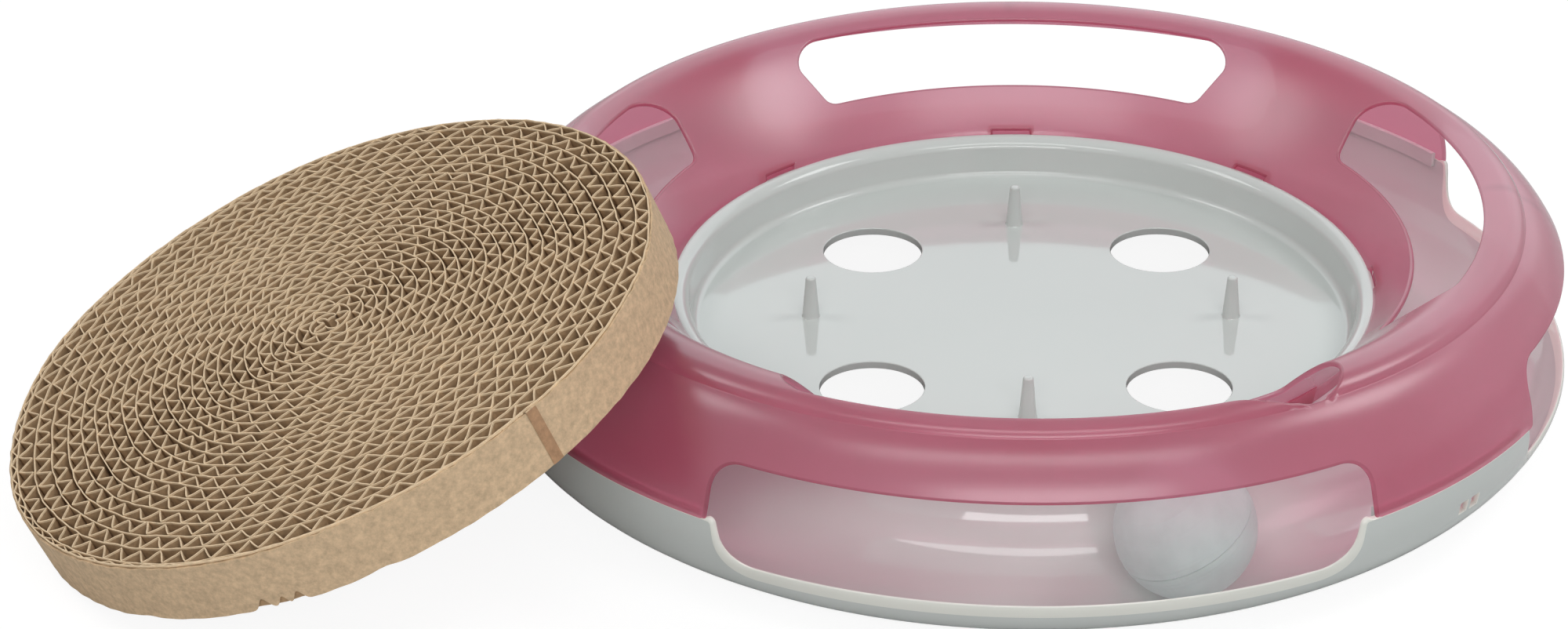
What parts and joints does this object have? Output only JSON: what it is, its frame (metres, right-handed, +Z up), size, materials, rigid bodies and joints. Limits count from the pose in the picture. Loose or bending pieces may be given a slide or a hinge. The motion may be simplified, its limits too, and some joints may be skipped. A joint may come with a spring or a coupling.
{
  "type": "cat scratcher with ball track",
  "caption": "Round cat toy: a translucent pink cover with windows snaps over a tray's gutter, where a hollow ball rolls; a wound cardboard scratching pad leans on the cover's crest.",
  "frame": {"origin": "on the ring's axis, at the top of the tray's floor, where the pad rests when it is in its well", "axes": "+Z up along the ring's axis; +X towards the picture's right, through the middle of a window; -Y towards the picture's front"},
  "size_m": [0.5106, 0.3732, 0.1064],
  "materials": {
    "base_plastic": "satin off-white moulding",
    "cover_plastic": "translucent frosted pink moulding",
    "ball_plastic": "translucent milky grey shell",
    "foot_rubber": "soft grey rubber",
    "pad_cardboard": "raw corrugated board, cut edges up",
    "pad_kraft_paper": "smooth brown kraft paper"
  },
  "bodies": {
    "ring": {"base_tray": "base_plastic", "cover_ring": "cover_plastic", "foot_right_rear": "foot_rubber", "foot_left_rear": "foot_rubber", "foot_left_front": "foot_rubber", "foot_right_front": "foot_rubber"},
    "ball": {"ball_upper_half": "ball_plastic", "ball_lower_half": "ball_plastic"},
    "pad": {"pad_winding": "pad_cardboard", "pad_wrap": "pad_kraft_paper"}
  },
  "joints": [
    {"name": "ball_orbit", "type": "hinge", "parent": "ring", "child": "ball", "pos_m": [0, 0, 0], "axis": [0, 0, 1], "continuous": true},
    {"name": "pad_lift", "type": "slide", "parent": "ring", "child": "pad", "axis": [0, 0, 1], "range_m": [0, 0.15]}
  ]
}
